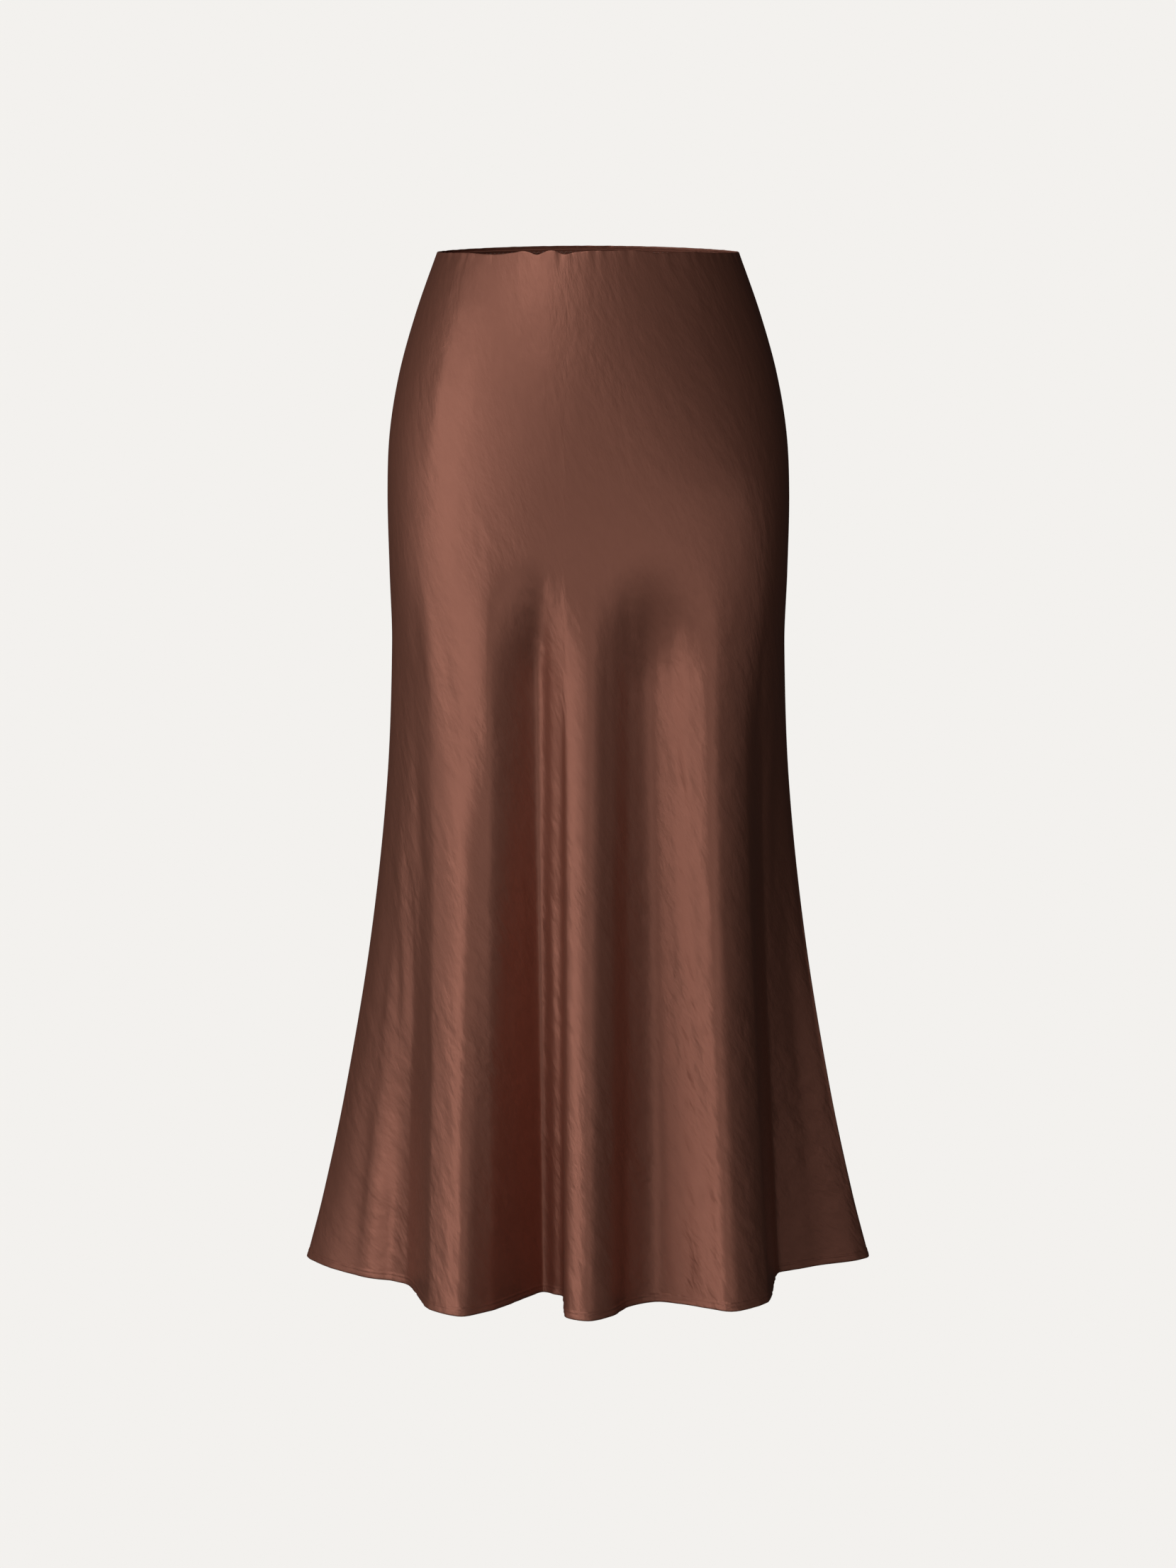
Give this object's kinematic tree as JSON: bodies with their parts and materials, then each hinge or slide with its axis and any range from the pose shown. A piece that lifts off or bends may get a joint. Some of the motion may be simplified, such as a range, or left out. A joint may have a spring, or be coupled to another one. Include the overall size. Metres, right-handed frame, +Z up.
{
  "type": "slip skirt",
  "caption": "Bias-cut satin slip skirt, midi length, smooth over the hips with soft flutes opening to a flared hem, worn and hollow.",
  "frame": {"origin": "centre of the waist opening, level with the tops of the two side seams", "axes": "+Z up along the body, out of the waist; -Y out of the front; +X to the right of someone who faces the front"},
  "size_m": [0.488, 0.4105, 0.8682],
  "materials": {
    "brown_satin": "chocolate brown satin with a soft lengthwise sheen",
    "brown_elastic": "matt brown woven elastic"
  },
  "bodies": {
    "root": {"front_panel": "brown_satin", "back_panel": "brown_satin", "waist_elastic": "brown_elastic"}
  },
  "joints": []
}
